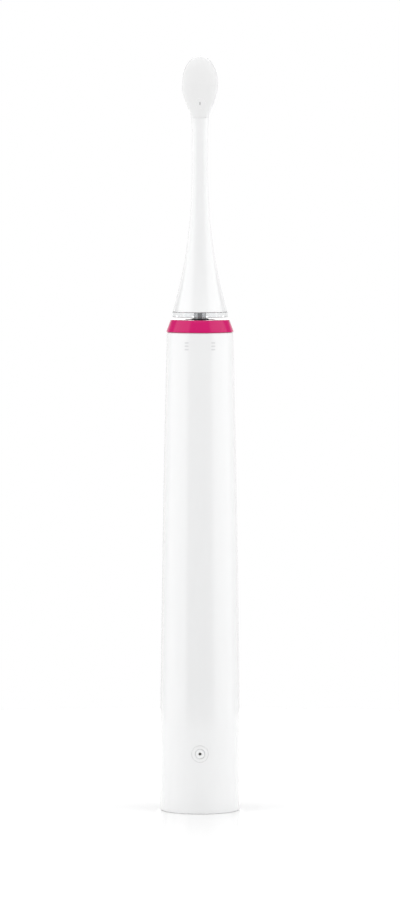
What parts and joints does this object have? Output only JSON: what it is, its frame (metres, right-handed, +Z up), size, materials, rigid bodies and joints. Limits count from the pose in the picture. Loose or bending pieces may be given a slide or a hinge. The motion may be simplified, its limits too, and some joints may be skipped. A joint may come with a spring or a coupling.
{
  "type": "electric toothbrush",
  "caption": "Slim sonic toothbrush with a tapered round handle, contrasting collar, clear ring and pull-off oval brush head, standing on a flat foot",
  "frame": {"origin": "middle of the foot's rim, on the surface it stands on", "axes": "+Z up along the handle, +Y to the front with the button and the bristles, +X to the right seen from the back"},
  "size_m": [0.0266, 0.0266, 0.2499],
  "materials": {
    "white_gloss": "polished white ABS",
    "white_satin": "satin white",
    "soft_white": "matte soft-touch elastomer",
    "pink_gloss": "glossy pink",
    "clear_plastic": "clear polished",
    "steel": "polished steel",
    "nickel": "nickel plate",
    "brass": "plain",
    "copper": "enamelled copper",
    "dark_rubber": "matte",
    "grey_rubber": "matte",
    "foam": "open foam",
    "black_plastic": "moulded",
    "grey_plastic": "moulded",
    "cell_wrap": "shrink wrap",
    "board_green": "solder mask",
    "led_white": "moulded",
    "bristle_white": "nylon filaments",
    "bristle_pink": "nylon filaments"
  },
  "bodies": {
    "handle": {"handle_shell": "white_gloss", "base_cap": "white_satin", "base_seal": "dark_rubber", "port_bezel": "white_satin", "port_insulator": "white_satin", "charging_contact": "brass", "charging_jack": "black_plastic", "chassis": "grey_plastic", "battery_cell": "cell_wrap", "battery_tabs": "nickel", "battery_pad": "foam", "main_board": "board_green", "controller_chip": "black_plastic", "status_leds": "led_white", "light_pipes": "clear_plastic", "board_screws": "steel", "switch_body": "black_plastic", "button_bezel": "pink_gloss", "button_seal": "dark_rubber", "motor_can": "steel", "motor_rear_plate": "grey_plastic", "stator_core": "steel", "coil_former": "black_plastic", "coil_winding": "copper", "motor_leads": "copper", "bearing_plate": "grey_plastic", "rear_bearing": "brass", "front_plate": "grey_plastic", "front_bearing": "brass", "rear_damper": "dark_rubber", "front_damper": "dark_rubber", "accent_collar": "pink_gloss", "collar_gasket": "grey_rubber", "shaft_seal": "grey_rubber"},
    "drive": {"drive_shaft": "steel", "rotor_yoke": "steel", "rotor_magnets": "nickel", "return_spring": "steel", "spring_hub": "brass", "shaft_clips": "steel"},
    "brush_head": {"brush_neck": "white_gloss", "head_back_pad": "soft_white", "drive_coupling": "grey_plastic", "coupling_leaf": "steel", "clear_ring": "clear_plastic", "tufts_outer": "bristle_white", "tufts_inner": "bristle_pink", "tuft_anchors": "nickel"},
    "button": {"power_button": "soft_white", "switch_plunger": "black_plastic"}
  },
  "joints": [
    {"name": "shaft_sweep", "type": "hinge", "parent": "handle", "child": "drive", "pos_m": [0, 0, 0.15], "axis": [0, 0, 1], "range_deg": [-6, 6], "stiffness_Nm_per_rad": 0.01},
    {"name": "head_release", "type": "slide", "parent": "drive", "child": "brush_head", "axis": [0, 0, 1], "range_m": [0, 0.02]},
    {"name": "button_press", "type": "slide", "parent": "handle", "child": "button", "axis": [0, -1, 0], "range_m": [0, 0.0004], "stiffness_N_per_m": 400}
  ]
}
